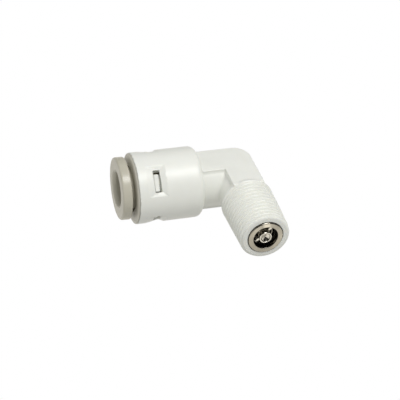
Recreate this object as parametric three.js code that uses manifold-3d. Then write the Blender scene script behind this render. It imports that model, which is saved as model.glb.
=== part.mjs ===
// Push-to-connect elbow: 1/4 inch tube socket to 1/8 inch taper pipe thread, with a spring check valve
// in the threaded nipple.
//
// Millimetres, +Z up. The elbow lies with both of its axes level: the tube socket opens towards -X and
// the threaded nipple towards -Y. Each outlet's inner pieces are modelled in a group of their own, whose
// local +Y runs out of the elbow along that outlet, so a "station" is a distance from the point where
// the two axes cross. The origin is under the middle of the whole object, on the plane it rests on.

import * as THREE from 'three';
import { mergeVertices } from 'three/addons/utils/BufferGeometryUtils.js';
import Module from 'manifold-3d';

// ---------------------------------------------------------------- driving dimensions

const TUBE_RADIUS = 3.175;
const TUBE_CLEARANCE = 0.125;
const FIT_GAP = 0.1;               // between pieces that touch or slide
const OVERRUN = 1;                 // how far a cutter runs past what it cuts
const OVERLAP = 0.2;               // how deep two joined lumps sink into each other

// tube socket, stations from the elbow's centre
const SOCKET_RADIUS = 6.96;
const SOCKET_MOUTH = 20.6;
const SOCKET_SHOULDER = 7.7;
const SHOULDER_ROUND = 1.3;
const MOUTH_ROUND = 0.35;
const HOLDER_BORE_RADIUS = 5.75;
const HOLDER_SEAT = 12.6;
const SEAL_BORE_RADIUS = 5.0;
const SEAL_SEAT = 9.7;
const TUBE_STOP = 5.2;
const TUBE_BORE_RADIUS = TUBE_RADIUS + TUBE_CLEARANCE;

// windows for the holder's snap hooks
const WINDOW_COUNT = 4;
const WINDOW_TURN = THREE.MathUtils.degToRad(43.5);
const WINDOW_FRONT = 17.55;
const WINDOW_BACK = 16.2;
const WINDOW_WIDTH = 4.2;
const POCKET_WIDTH = 5.9;
const POCKET_FRONT = 19.3;
const POCKET_BACK = 15.2;
const POCKET_DEPTH = 0.5;

// elbow
const SOCKET_NECK_RADIUS = 5.2;
const NIPPLE_NECK_RADIUS = 4.55;
const FLARE_BACK = 7.3;
const PAD_HEIGHT = 4.6;
const SOCKET_PAD_HALF_WIDTH = 3.4;
const NIPPLE_PAD_HALF_WIDTH = 3.1;
const PAD_END = 8.9;
const FLOW_RADIUS = 2.3;
const ELBOW_SPAN = 40;             // wider than the whole elbow

// threaded nipple, 27 turns to the inch on a taper of 1 in 16
const THREAD_PITCH = 25.4 / 27;
const THREAD_START = 9.1;
const THREAD_CREST_RADIUS = 5.14;
const THREAD_DEPTH = 0.5;
const THREAD_TAPER = 1 / 32;
const NIPPLE_END = 20.05;
const NIPPLE_END_RADIUS = 4.42;
const END_CHAMFER = 0.4;
const CARTRIDGE_BORE_RADIUS = 3.15;
const CARTRIDGE_SEAT = 9.6;
const RIM_RECESS_RADIUS = 3.46;
const RIM_RECESS_DEPTH = 0.4;

// holder
const HOLDER_RADIUS = 5.55;
const HOLDER_FRONT = 19.8;
const HOLDER_BACK = 12.9;
const HOLDER_THROAT_RADIUS = 4.35;
const HOLDER_CONE_FRONT = 17.4;
const HOLDER_CONE_BACK = 15.4;
const HOLDER_WIDE_RADIUS = 5.0;
const HOOK_WIDTH = 3.3;
const HOOK_RADIUS = 6.6;
const HOOK_FRONT = 17.4;
const HOOK_BACK = 16.5;
const HOOK_SLIT = 0.45;
const HOOK_SLIT_FRONT = 18.8;
const HOOK_OFFSET = THREE.MathUtils.degToRad(-2.8);    // hooks lie against one end of their windows

// collar that closes the socket's mouth
const COLLAR_FRONT = 21;
const COLLAR_BACK = SOCKET_MOUTH + 0.05;
const COLLAR_RADIUS = 6.93;
const COLLAR_BORE_RADIUS = 4.45;
const SPIGOT_RADIUS = 5.6;
const SPIGOT_BACK = HOLDER_FRONT + FIT_GAP;

// collet
const COLLET_FRONT = 23.71;
const FLANGE_THICKNESS = 1.85;
const FLANGE_RADIUS = 6.09;
const COLLET_BORE_RADIUS = TUBE_RADIUS + TUBE_CLEARANCE;
const BORE_ENTRY = 0.45;
const COLLET_BARREL_RADIUS = 4.1;
const COLLET_TIP = 14.35;
const COLLET_LIP_RADIUS = 4.75;
const COLLET_LIP_LENGTH = 1.1;
const COLLET_CONE_LENGTH = 1.4;
const FINGER_COUNT = 8;
const FINGER_SLOT = 0.55;
const FINGER_SLOT_FRONT = 20.0;

// grip teeth
const TOOTH_WIDTH = 1.1;
const TOOTH_THICKNESS = 0.22;
const TOOTH_TIP_RADIUS = 3.02;
const TOOTH_ROOT_RADIUS = 4.2;
const TOOTH_STATION = 15.0;

// seals
const TUBE_SEAL_WIRE = 0.85;
const TUBE_SEAL_RADIUS = 3.96;
const TUBE_SEAL_STATION = 10.65;
const SPACER_FRONT = 12.4;
const SPACER_BACK = 11.7;
const SPACER_BORE_RADIUS = 3.4;
const CARTRIDGE_SEAL_WIRE = 0.4;
const CARTRIDGE_SEAL_RADIUS = 2.72;
const CARTRIDGE_SEAL_STATION = 10.12;

// check valve
const HOUSING_RADIUS = 3.05;
const HOUSING_BORE_RADIUS = 2.6;
const HOUSING_BACK = 10.65;
const VALVE_SEAT = 11.45;
const VALVE_SEAT_RADIUS = 1.6;
const RIM_RADIUS = 3.36;
const RIM_LIP_RADIUS = 2.38;
const RIM_THICKNESS = 0.5;
const RIM_PROUD = 0.2;
const LIP_BACK = 19.55;
const POPPET_NOSE_RADIUS = 1.2;
const POPPET_NOSE = 10.9;
const POPPET_HEAD_RADIUS = 2.2;
const POPPET_HEAD_BACK = 12.25;
const POPPET_HEAD_FRONT = 12.85;
const STEM_RADIUS = 0.82;
const STEM_END = 20.1;
const STEM_DISH = 0.4;
const POPPET_SEAL_WIRE = 0.3;
const POPPET_SEAL_RADIUS = 1.62;
const POPPET_SEAL_STATION = 11.87;
const SPRING_RADIUS = 1.8;
const SPRING_WIRE = 0.17;
const SPRING_TURNS = 5;
const SPIDER_BACK = 18.75;
const SPIDER_FRONT = 19.1;
const SPIDER_RADIUS = 2.5;
const SPIDER_RING_BORE = 2.12;
const HUB_FRONT = 20.2;
const HUB_RADIUS = 1.2;
const HUB_BORE_RADIUS = 0.92;
const SPOKE_WIDTH = 0.5;
const SPOKE_COUNT = 4;

// round pieces' facets
const FACETS_LARGE = 48;
const FACETS_MEDIUM = 32;
const FACETS_SMALL = 24;
const THREAD_FACETS = 24;
const THREAD_RINGS_PER_TURN = 4;
const SEAL_SIDES = 8;
const MERGE_DISTANCE = 1e-5;

// ---------------------------------------------------------------- solids

const wasm = await Module();
wasm.setup();

function toSolid(geometry) {
  const bare = geometry.clone();
  bare.deleteAttribute('normal');
  bare.deleteAttribute('uv');
  const merged = mergeVertices(bare, MERGE_DISTANCE);
  return new wasm.Manifold(new wasm.Mesh({
    numProp: 3,
    vertProperties: new Float32Array(merged.attributes.position.array),
    triVerts: new Uint32Array(merged.index.array),
  }));
}

function toGeometry(solid) {
  const mesh = solid.getMesh();
  const geometry = new THREE.BufferGeometry();
  geometry.setAttribute('position', new THREE.BufferAttribute(mesh.vertProperties, 3));
  geometry.setIndex(new THREE.BufferAttribute(mesh.triVerts, 1));
  geometry.computeVertexNormals();
  return geometry;
}

function joined(solids) {
  return solids.reduce((sum, solid) => sum.add(solid));
}

// A body of revolution about local +Y from [radius, station] pairs. The profile starts and ends on
// the axis, or closes on itself where the piece is a ring.
function turned(profile, facets) {
  const points = profile.map(([radius, station]) => new THREE.Vector2(radius, station));
  return new THREE.LatheGeometry(points, facets);
}

function turnedRing(profile, facets) {
  return turned([...profile, profile[0]], facets);
}

function ringSeal(radius, wire, station, facets) {
  const profile = [];
  for (let side = 0; side < SEAL_SIDES; side += 1) {
    const angle = (side + 0.5) * 2 * Math.PI / SEAL_SIDES;
    profile.push([radius + wire * Math.cos(angle), station + wire * Math.sin(angle)]);
  }
  return turnedRing(profile, facets);
}

// A box between two stations, with its foot at one radius and its top at another, on the side of the
// axis that a turn about +Y puts it. Turn 0 is local -X.
function radialBox(width, innerRadius, outerRadius, back, front, turn) {
  const box = new THREE.BoxGeometry(outerRadius - innerRadius, front - back, width);
  box.translate(-(innerRadius + outerRadius) / 2, (back + front) / 2, 0);
  box.rotateY(turn);
  return box;
}

// A plate with an outline of [radius, station] points, turned about the axis in the same way.
function radialPlate(outline, width, turn) {
  const shape = new THREE.Shape(outline.map(([radius, station]) => new THREE.Vector2(radius, station)));
  const plate = new THREE.ExtrudeGeometry(shape, { depth: width, bevelEnabled: false });
  plate.translate(0, 0, -width / 2);
  plate.rotateY(Math.PI + turn);
  return plate;
}

// Turns of the socket's windows, counted from the -Y side of the elbow up towards +Z.
function windowTurns() {
  const step = 2 * Math.PI / WINDOW_COUNT;
  return Array.from({ length: WINDOW_COUNT }, (_, index) => WINDOW_TURN + index * step);
}

// ---------------------------------------------------------------- elbow body

function roundedCorner(radiusCentre, stationCentre, radius, from, to, steps) {
  const points = [];
  for (let step = 0; step <= steps; step += 1) {
    const angle = THREE.MathUtils.degToRad(from + (to - from) * step / steps);
    points.push([radiusCentre + radius * Math.cos(angle), stationCentre + radius * Math.sin(angle)]);
  }
  return points;
}

function socketOutside() {
  return turned([
    [0, SOCKET_SHOULDER],
    [SOCKET_NECK_RADIUS - OVERLAP, SOCKET_SHOULDER],
    ...roundedCorner(
      SOCKET_RADIUS - SHOULDER_ROUND, SOCKET_SHOULDER + SHOULDER_ROUND, SHOULDER_ROUND, -90, 0, 4),
    ...roundedCorner(SOCKET_RADIUS - MOUTH_ROUND, SOCKET_MOUTH - MOUTH_ROUND, MOUTH_ROUND, 0, 90, 2),
    [0, SOCKET_MOUTH],
  ], FACETS_LARGE);
}

function socketInside() {
  const beyond = SOCKET_MOUTH + OVERRUN;
  return turned([
    [0, 0],
    [FLOW_RADIUS, 0],
    [FLOW_RADIUS, TUBE_STOP],
    [TUBE_BORE_RADIUS, TUBE_STOP],
    [TUBE_BORE_RADIUS, SEAL_SEAT],
    [SEAL_BORE_RADIUS, SEAL_SEAT],
    [SEAL_BORE_RADIUS, HOLDER_SEAT],
    [HOLDER_BORE_RADIUS, HOLDER_SEAT],
    [HOLDER_BORE_RADIUS, beyond],
    [0, beyond],
  ], FACETS_LARGE);
}

// Rectangular window with a sloping border behind and at both ends, and a shallow ramp in front.
function windowCutter(turn) {
  const hole = toSolid(radialBox(
    WINDOW_WIDTH, SEAL_BORE_RADIUS, SOCKET_RADIUS + OVERRUN, WINDOW_BACK, WINDOW_FRONT, turn));
  const floorRadius = SOCKET_RADIUS - POCKET_DEPTH;
  const topRadius = SOCKET_RADIUS + POCKET_DEPTH;
  const wedge = radialPlate([
    [floorRadius, WINDOW_BACK],
    [topRadius, 2 * POCKET_BACK - WINDOW_BACK],
    [topRadius, 2 * POCKET_FRONT - WINDOW_FRONT],
    [floorRadius, WINDOW_FRONT],
  ], POCKET_WIDTH, turn);
  return hole.add(toSolid(wedge));
}

// L-shaped flat pad, as thick as the elbow, whose outer corner is rounded about the elbow's centre.
function padPlate() {
  const outline = new THREE.Shape();
  outline.moveTo(-SOCKET_SHOULDER - SHOULDER_ROUND, -SOCKET_PAD_HALF_WIDTH);
  outline.lineTo(-NIPPLE_PAD_HALF_WIDTH, -SOCKET_PAD_HALF_WIDTH);
  outline.lineTo(-NIPPLE_PAD_HALF_WIDTH, -PAD_END);
  outline.lineTo(NIPPLE_PAD_HALF_WIDTH, -PAD_END);
  outline.lineTo(NIPPLE_PAD_HALF_WIDTH, 0);
  outline.absellipse(0, 0, NIPPLE_PAD_HALF_WIDTH, SOCKET_PAD_HALF_WIDTH, 0, Math.PI / 2, false);
  outline.lineTo(-SOCKET_SHOULDER - SHOULDER_ROUND, SOCKET_PAD_HALF_WIDTH);
  const plate = new THREE.ExtrudeGeometry(
    outline, { depth: 2 * PAD_HEIGHT, bevelEnabled: false, curveSegments: 6 });
  plate.translate(0, 0, -PAD_HEIGHT);
  return plate;
}

// Nipple from the elbow's centre to its end. The thread is a triangular wave wound round the cone.
function threadedNipple() {
  const end = NIPPLE_END - END_CHAMFER;
  const rings = Math.round((end - THREAD_START) / THREAD_PITCH * THREAD_RINGS_PER_TURN);
  const profile = [
    [0, 0],
    [NIPPLE_NECK_RADIUS, 0],
    [NIPPLE_NECK_RADIUS, FLARE_BACK],
    [THREAD_CREST_RADIUS, THREAD_START - THREAD_PITCH / 2],
  ];
  for (let ring = 0; ring <= rings; ring += 1) {
    const station = THREAD_START + (end - THREAD_START) * ring / rings;
    profile.push([crestRadius(station), station]);
  }
  profile.push([NIPPLE_END_RADIUS, NIPPLE_END], [0, NIPPLE_END]);
  const nipple = turned(profile, THREAD_FACETS);
  const place = nipple.attributes.position;
  for (let index = 0; index < place.count; index += 1) {
    const station = place.getY(index);
    if (station >= THREAD_START && station <= end) {
      const angle = Math.atan2(place.getZ(index), place.getX(index));
      const radius = crestRadius(station) - threadDepth(station, angle);
      place.setX(index, radius * Math.cos(angle));
      place.setZ(index, radius * Math.sin(angle));
    }
  }
  return nipple;
}

function crestRadius(station) {
  return THREAD_CREST_RADIUS - (station - THREAD_START) * THREAD_TAPER;
}

function threadDepth(station, angle) {
  const turns = (station - THREAD_START) / THREAD_PITCH + angle / (2 * Math.PI);
  const phase = turns - Math.floor(turns);
  const runIn = Math.min(1, (station - THREAD_START) / THREAD_PITCH);
  return THREAD_DEPTH * runIn * (1 - Math.abs(2 * phase - 1));
}

function nippleInside() {
  const beyond = NIPPLE_END + OVERRUN;
  return turned([
    [0, 0],
    [FLOW_RADIUS, 0],
    [FLOW_RADIUS, CARTRIDGE_SEAT],
    [CARTRIDGE_BORE_RADIUS, CARTRIDGE_SEAT],
    [CARTRIDGE_BORE_RADIUS, NIPPLE_END - RIM_RECESS_DEPTH],
    [RIM_RECESS_RADIUS, NIPPLE_END - RIM_RECESS_DEPTH],
    [RIM_RECESS_RADIUS, beyond],
    [0, beyond],
  ], FACETS_MEDIUM);
}

function alongSocket(geometry) {
  return toSolid(geometry.rotateZ(Math.PI / 2));
}

function alongNipple(geometry) {
  return toSolid(geometry.rotateZ(Math.PI));
}

// Round neck behind the socket, carried past the elbow's centre as far as the nipple's own neck
// reaches, and cut flat level with the pads.
function neckAndCorner() {
  const neck = turned([
    [0, 0],
    [SOCKET_NECK_RADIUS, 0],
    [SOCKET_NECK_RADIUS, SOCKET_SHOULDER + SHOULDER_ROUND],
    [0, SOCKET_SHOULDER + SHOULDER_ROUND],
  ], FACETS_MEDIUM);
  const across = new THREE.CylinderGeometry(
    SOCKET_NECK_RADIUS, SOCKET_NECK_RADIUS, 2 * NIPPLE_NECK_RADIUS, FACETS_MEDIUM);
  const along = new THREE.CylinderGeometry(
    NIPPLE_NECK_RADIUS, NIPPLE_NECK_RADIUS, 2 * SOCKET_NECK_RADIUS, FACETS_MEDIUM);
  const corner = alongSocket(across).intersect(toSolid(along));
  const slab = new THREE.BoxGeometry(ELBOW_SPAN, ELBOW_SPAN, 2 * PAD_HEIGHT);
  return alongSocket(neck).add(corner).intersect(toSolid(slab));
}

function elbowBody() {
  const cornerCore = new THREE.SphereGeometry(FLOW_RADIUS, FACETS_SMALL, FACETS_SMALL / 2);
  const solid = joined([
    alongSocket(socketOutside()),
    neckAndCorner(),
    alongNipple(threadedNipple()),
    toSolid(padPlate()),
  ]);
  let hollow = joined([
    alongSocket(socketInside()),
    alongNipple(nippleInside()),
    toSolid(cornerCore),
  ]);
  for (const turn of windowTurns()) {
    const cutter = toGeometry(windowCutter(turn));
    hollow = hollow.add(alongSocket(cutter));
  }
  return toGeometry(solid.subtract(hollow));
}

// ---------------------------------------------------------------- socket pieces

function colletHolder() {
  const sleeve = turnedRing([
    [HOLDER_THROAT_RADIUS, HOLDER_FRONT],
    [HOLDER_THROAT_RADIUS, HOLDER_CONE_FRONT],
    [HOLDER_WIDE_RADIUS, HOLDER_CONE_BACK],
    [HOLDER_WIDE_RADIUS, HOLDER_BACK],
    [HOLDER_RADIUS, HOLDER_BACK],
    [HOLDER_RADIUS, HOLDER_FRONT],
  ], FACETS_LARGE);
  let solid = toSolid(sleeve);
  for (const turn of windowTurns().map((window) => window + HOOK_OFFSET)) {
    solid = solid.add(toSolid(radialBox(
      HOOK_WIDTH, HOLDER_RADIUS - OVERLAP, HOOK_RADIUS, HOOK_BACK, HOOK_FRONT, turn)));
    for (const side of [-1, 1]) {
      const slit = radialBox(
        HOOK_SLIT, OVERRUN, HOOK_RADIUS, HOLDER_BACK - OVERRUN, HOOK_SLIT_FRONT, 0);
      slit.translate(0, 0, side * (HOOK_WIDTH + HOOK_SLIT) / 2);
      slit.rotateY(turn);
      solid = solid.subtract(toSolid(slit));
    }
  }
  return toGeometry(solid);
}

function frontCollar() {
  const edgeHeight = 0.5;
  const edgeLength = 0.25;
  return turnedRing([
    [COLLAR_BORE_RADIUS, COLLAR_FRONT],
    [COLLAR_BORE_RADIUS, SPIGOT_BACK],
    [SPIGOT_RADIUS, SPIGOT_BACK],
    [SPIGOT_RADIUS, COLLAR_BACK],
    [COLLAR_RADIUS, COLLAR_BACK],
    [COLLAR_RADIUS, COLLAR_FRONT - edgeLength],
    [COLLAR_RADIUS - edgeHeight, COLLAR_FRONT],
  ], FACETS_LARGE);
}

function fingerTurn(finger) {
  return finger * 2 * Math.PI / FINGER_COUNT;
}

function collet() {
  const flangeBack = COLLET_FRONT - FLANGE_THICKNESS;
  const edge = 0.3;
  const sleeve = turnedRing([
    [COLLET_BORE_RADIUS + BORE_ENTRY, COLLET_FRONT],
    [COLLET_BORE_RADIUS, COLLET_FRONT - BORE_ENTRY],
    [COLLET_BORE_RADIUS, COLLET_TIP],
    [COLLET_LIP_RADIUS - edge, COLLET_TIP],
    [COLLET_LIP_RADIUS, COLLET_TIP + edge],
    [COLLET_LIP_RADIUS, COLLET_TIP + COLLET_LIP_LENGTH],
    [COLLET_BARREL_RADIUS, COLLET_TIP + COLLET_LIP_LENGTH + COLLET_CONE_LENGTH],
    [COLLET_BARREL_RADIUS, flangeBack],
    [FLANGE_RADIUS - edge, flangeBack],
    [FLANGE_RADIUS, flangeBack + edge],
    [FLANGE_RADIUS, COLLET_FRONT - edge],
    [FLANGE_RADIUS - edge, COLLET_FRONT],
  ], FACETS_LARGE);
  let solid = toSolid(sleeve);
  for (let finger = 0; finger < FINGER_COUNT; finger += 1) {
    const turn = fingerTurn(finger);
    const halfFinger = Math.PI / FINGER_COUNT;
    const slot = radialBox(
      FINGER_SLOT, OVERRUN, FLANGE_RADIUS, COLLET_TIP - OVERRUN, FINGER_SLOT_FRONT, turn + halfFinger);
    const pocket = radialBox(
      TOOTH_WIDTH + 2 * FIT_GAP, OVERRUN, TOOTH_ROOT_RADIUS + FIT_GAP,
      TOOTH_STATION - FIT_GAP, TOOTH_STATION + TOOTH_THICKNESS + FIT_GAP, turn);
    solid = solid.subtract(toSolid(slot)).subtract(toSolid(pocket));
  }
  return toGeometry(solid);
}

// Thin steel blade, set in its finger with a sharpened edge towards the tube.
function gripTooth(finger) {
  const bevel = 0.14;
  const front = TOOTH_STATION + TOOTH_THICKNESS;
  return radialPlate([
    [TOOTH_TIP_RADIUS, TOOTH_STATION],
    [TOOTH_TIP_RADIUS + bevel, front],
    [TOOTH_ROOT_RADIUS, front],
    [TOOTH_ROOT_RADIUS, TOOTH_STATION],
  ], TOOTH_WIDTH, fingerTurn(finger));
}

function spacerRing() {
  return turnedRing([
    [SPACER_BORE_RADIUS, SPACER_BACK],
    [SEAL_BORE_RADIUS - FIT_GAP, SPACER_BACK],
    [SEAL_BORE_RADIUS - FIT_GAP, SPACER_FRONT],
    [SPACER_BORE_RADIUS, SPACER_FRONT],
  ], FACETS_LARGE);
}

// ---------------------------------------------------------------- check valve pieces

function valveHousing() {
  const rimFront = NIPPLE_END + RIM_PROUD;
  const rimBack = rimFront - RIM_THICKNESS;
  const edge = 0.15;
  return turnedRing([
    [VALVE_SEAT_RADIUS, HOUSING_BACK],
    [HOUSING_RADIUS, HOUSING_BACK],
    [HOUSING_RADIUS, rimBack],
    [RIM_RADIUS, rimBack],
    [RIM_RADIUS, rimFront - edge],
    [RIM_RADIUS - edge, rimFront],
    [RIM_LIP_RADIUS, rimFront],
    [RIM_LIP_RADIUS, LIP_BACK],
    [HOUSING_BORE_RADIUS, LIP_BACK],
    [HOUSING_BORE_RADIUS, VALVE_SEAT],
    [VALVE_SEAT_RADIUS, VALVE_SEAT],
  ], FACETS_MEDIUM);
}

function valvePoppet() {
  return turned([
    [0, POPPET_NOSE],
    [POPPET_NOSE_RADIUS, POPPET_NOSE],
    [POPPET_NOSE_RADIUS, POPPET_HEAD_BACK],
    [POPPET_HEAD_RADIUS, POPPET_HEAD_BACK],
    [POPPET_HEAD_RADIUS, POPPET_HEAD_FRONT],
    [STEM_RADIUS, POPPET_HEAD_FRONT],
    [STEM_RADIUS, STEM_END],
    [0, STEM_END - STEM_DISH],
  ], FACETS_SMALL);
}

class Helix extends THREE.Curve {
  constructor(radius, start, end, turns) {
    super();
    this.radius = radius;
    this.start = start;
    this.end = end;
    this.turns = turns;
  }

  getPoint(share, target = new THREE.Vector3()) {
    const angle = share * this.turns * 2 * Math.PI;
    const station = this.start + share * (this.end - this.start);
    return target.set(this.radius * Math.cos(angle), station, this.radius * Math.sin(angle));
  }
}

function valveSpring() {
  const wireSides = 6;
  const stepsPerTurn = 14;
  const clearance = SPRING_WIRE + FIT_GAP;
  const path = new Helix(
    SPRING_RADIUS, POPPET_HEAD_FRONT + clearance, SPIDER_BACK - clearance, SPRING_TURNS);
  const wire = new THREE.Shape();
  for (let side = 0; side < wireSides; side += 1) {
    const angle = side * 2 * Math.PI / wireSides;
    const corner = [SPRING_WIRE * Math.cos(angle), SPRING_WIRE * Math.sin(angle)];
    if (side === 0) {
      wire.moveTo(...corner);
    } else {
      wire.lineTo(...corner);
    }
  }
  return new THREE.ExtrudeGeometry(wire, { steps: stepsPerTurn * SPRING_TURNS, extrudePath: path });
}

function spiderRetainer() {
  const ring = toSolid(turnedRing([
    [SPIDER_RING_BORE, SPIDER_BACK],
    [SPIDER_RADIUS, SPIDER_BACK],
    [SPIDER_RADIUS, SPIDER_FRONT],
    [SPIDER_RING_BORE, SPIDER_FRONT],
  ], FACETS_MEDIUM));
  const hub = toSolid(turnedRing([
    [HUB_BORE_RADIUS, SPIDER_BACK],
    [HUB_RADIUS, SPIDER_BACK],
    [HUB_RADIUS, HUB_FRONT],
    [HUB_BORE_RADIUS, HUB_FRONT],
  ], FACETS_SMALL));
  const spokes = Array.from({ length: SPOKE_COUNT }, (_, index) => toSolid(radialBox(
    SPOKE_WIDTH, HUB_RADIUS - OVERLAP, SPIDER_RING_BORE + OVERLAP, SPIDER_BACK, SPIDER_FRONT,
    (index + 0.5) * 2 * Math.PI / SPOKE_COUNT)));
  return toGeometry(joined([ring, hub, ...spokes]));
}

// ---------------------------------------------------------------- assembly

const finishes = {
  white: { color: 0xe9e9e3, roughness: 0.42, metalness: 0 },
  ivory: { color: 0xc9c2ad, roughness: 0.45, metalness: 0 },
  steel: { color: 0xb9b5aa, roughness: 0.28, metalness: 1 },
  rubber: { color: 0x17171a, roughness: 0.55, metalness: 0 },
  acetal: { color: 0xdcd8ca, roughness: 0.4, metalness: 0 },
};

function piece(name, geometry, finish) {
  const mesh = new THREE.Mesh(geometry, new THREE.MeshStandardMaterial(finishes[finish]));
  mesh.name = name;
  return mesh;
}

const socket = new THREE.Group();
socket.rotation.z = Math.PI / 2;
socket.add(
  piece('collet_holder', colletHolder(), 'white'),
  piece('front_collar', frontCollar(), 'ivory'),
  piece('collet', collet(), 'ivory'),
  piece('spacer_ring', spacerRing(), 'acetal'),
  piece(
    'tube_o_ring',
    ringSeal(TUBE_SEAL_RADIUS, TUBE_SEAL_WIRE, TUBE_SEAL_STATION, FACETS_MEDIUM), 'rubber'),
);
for (let finger = 0; finger < FINGER_COUNT; finger += 1) {
  socket.add(piece(`grip_tooth_${finger + 1}`, gripTooth(finger), 'steel'));
}

const nipple = new THREE.Group();
nipple.rotation.z = Math.PI;
nipple.add(
  piece(
    'cartridge_seal',
    ringSeal(CARTRIDGE_SEAL_RADIUS, CARTRIDGE_SEAL_WIRE, CARTRIDGE_SEAL_STATION, FACETS_SMALL), 'rubber'),
  piece('valve_housing', valveHousing(), 'steel'),
  piece('valve_poppet', valvePoppet(), 'steel'),
  piece(
    'poppet_seal',
    ringSeal(POPPET_SEAL_RADIUS, POPPET_SEAL_WIRE, POPPET_SEAL_STATION, FACETS_SMALL), 'rubber'),
  piece('valve_spring', valveSpring(), 'steel'),
  piece('spider_retainer', spiderRetainer(), 'steel'),
);

const fitting = new THREE.Group();
fitting.position.set(
  (COLLET_FRONT - THREAD_CREST_RADIUS) / 2,
  (NIPPLE_END + RIM_PROUD - SOCKET_RADIUS) / 2,
  SOCKET_RADIUS,
);
fitting.add(piece('elbow_body', elbowBody(), 'white'), socket, nipple);

const model = new THREE.Group();
model.add(fitting);

export default model;
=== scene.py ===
"""Looks of a push-to-connect elbow: 1/4 inch tube socket, 1/8 inch taper thread and a check valve.

Every moulded or turned piece is skinned from a distance function, which is negative inside the piece.
Distance functions work in millimetres from the point where the elbow's two axes cross. A "station" is
the distance from that point along a leg: the socket runs towards -X and the nipple towards -Y.
"""

import itertools
import math

import bpy
import numpy as np
from mathutils import Matrix, Vector


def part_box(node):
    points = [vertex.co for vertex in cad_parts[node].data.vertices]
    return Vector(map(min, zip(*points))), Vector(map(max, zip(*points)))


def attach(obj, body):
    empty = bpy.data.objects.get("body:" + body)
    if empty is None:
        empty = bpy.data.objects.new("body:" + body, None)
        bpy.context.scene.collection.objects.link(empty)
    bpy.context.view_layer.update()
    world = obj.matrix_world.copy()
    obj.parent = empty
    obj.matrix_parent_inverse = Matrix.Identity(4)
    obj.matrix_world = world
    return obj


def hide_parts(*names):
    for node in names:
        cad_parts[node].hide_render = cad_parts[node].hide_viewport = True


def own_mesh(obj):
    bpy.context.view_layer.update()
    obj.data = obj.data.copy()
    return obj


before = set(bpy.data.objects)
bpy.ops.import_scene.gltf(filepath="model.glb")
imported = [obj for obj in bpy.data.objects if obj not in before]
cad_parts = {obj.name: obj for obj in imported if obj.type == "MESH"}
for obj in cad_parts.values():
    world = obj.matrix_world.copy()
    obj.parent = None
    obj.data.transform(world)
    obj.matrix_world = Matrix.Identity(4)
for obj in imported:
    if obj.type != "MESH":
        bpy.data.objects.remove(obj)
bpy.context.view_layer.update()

MM = 0.001
FULL_TURN = 2 * math.pi


# ---------------------------------------------------------------- places taken from the frame

def middle(node):
    low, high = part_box(node)
    return (Vector(low) + Vector(high)) / 2


CENTRE = Vector((middle("valve_housing").x, middle("collet").y, middle("collet").z))


def leg_extent(node, axis):
    """Back station, front station and radius of a round node on the leg that runs down this axis."""
    low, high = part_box(node)
    back = (CENTRE[axis] - high[axis]) / MM
    front = (CENTRE[axis] - low[axis]) / MM
    return back, front, (high[2] - low[2]) / 2 / MM


_, SOCKET_MOUTH, SOCKET_RADIUS = leg_extent("elbow_body", 0)
_, NIPPLE_END, _ = leg_extent("elbow_body", 1)
COLLET_TIP, COLLET_FRONT, FLANGE_RADIUS = leg_extent("collet", 0)
HOLDER_BACK, HOLDER_FRONT, _ = leg_extent("collet_holder", 0)
SPIGOT_BACK, COLLAR_FRONT, COLLAR_RADIUS = leg_extent("front_collar", 0)
SPACER_BACK, SPACER_FRONT, SPACER_RADIUS = leg_extent("spacer_ring", 0)
HOUSING_BACK, RIM_FRONT, RIM_RADIUS = leg_extent("valve_housing", 1)
POPPET_NOSE, STEM_END, POPPET_HEAD_RADIUS = leg_extent("valve_poppet", 1)
SPRING_BACK, SPRING_FRONT, _ = leg_extent("valve_spring", 1)
SPIDER_BACK, HUB_FRONT, SPIDER_RADIUS = leg_extent("spider_retainer", 1)


# ---------------------------------------------------------------- driving dimensions, millimetres

TUBE_BORE_RADIUS = 3.3

# socket
SHOULDER = 7.7
SHOULDER_ROUND = 1.3
MOUTH_ROUND = 0.06
BORES = [(2.3, 0.0), (TUBE_BORE_RADIUS, 5.2), (5.0, 9.7), (5.75, 12.6)]     # radius, back station

# windows: a hole with sloping borders, one every quarter turn, counted from -Y up towards +Z
WINDOW_COUNT = 4
WINDOW_TURN = math.radians(43.5)
WINDOW_BACK = 16.2
WINDOW_FRONT = 17.55
WINDOW_HALF_WIDTH = 2.1
BORDER_BACK = 15.2
BORDER_HALF_WIDTH = 3.08
RAMP_FRONT = 18.9
RAMP_LENGTH = 3.1
POCKET_DEPTH = 0.5

# elbow
SOCKET_NECK_RADIUS = 5.2
NIPPLE_NECK_RADIUS = 4.55
CORNER_ROUND = 1.8
PAD_HEIGHT = 4.6
SOCKET_PAD_HALF_WIDTH = 3.4
NIPPLE_PAD_HALF_WIDTH = 3.1
PAD_END = 8.9
PAD_ROUND = 0.15
CROTCH_FILLET = 0.45
PAD_FILLET = 0.22
BORE_EDGE = 0.06
WINDOW_EDGE = 0.05

# threaded nipple
THREAD_PITCH = 25.4 / 27
THREAD_TAPER = 1 / 32
THREAD_START = 9.1
THREAD_RADIUS = 5.14
THREAD_DEPTH = 0.56
FLARE_BACK = 7.2
FLARE_FRONT = 8.9
NIPPLE_END_RADIUS = 4.42
NIPPLE_END_ROUND = 0.15
CHAMFER_ROUND = 0.1
NIPPLE_BORES = [(2.3, 0.0), (3.15, 9.6), (3.46, NIPPLE_END - 0.4)]

# holder and its snap hooks
HOLDER_RADIUS = 5.55
HOLDER_THROAT = 4.35
HOLDER_WIDE = 5.0
HOLDER_CONE = (15.4, 17.4)
HOOK_OFFSET = math.radians(-2.8)
HOOK_HALF_WIDTH = 1.65
HOOK_BACK = 16.68
HOOK_FRONT = 17.53
HOOK_RADIUS_BACK = 6.5
HOOK_RADIUS_FRONT = 6.72
HOOK_SLIT = 0.45
HOOK_SLIT_FRONT = 18.8
HOOK_FILLET = 0.1

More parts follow.
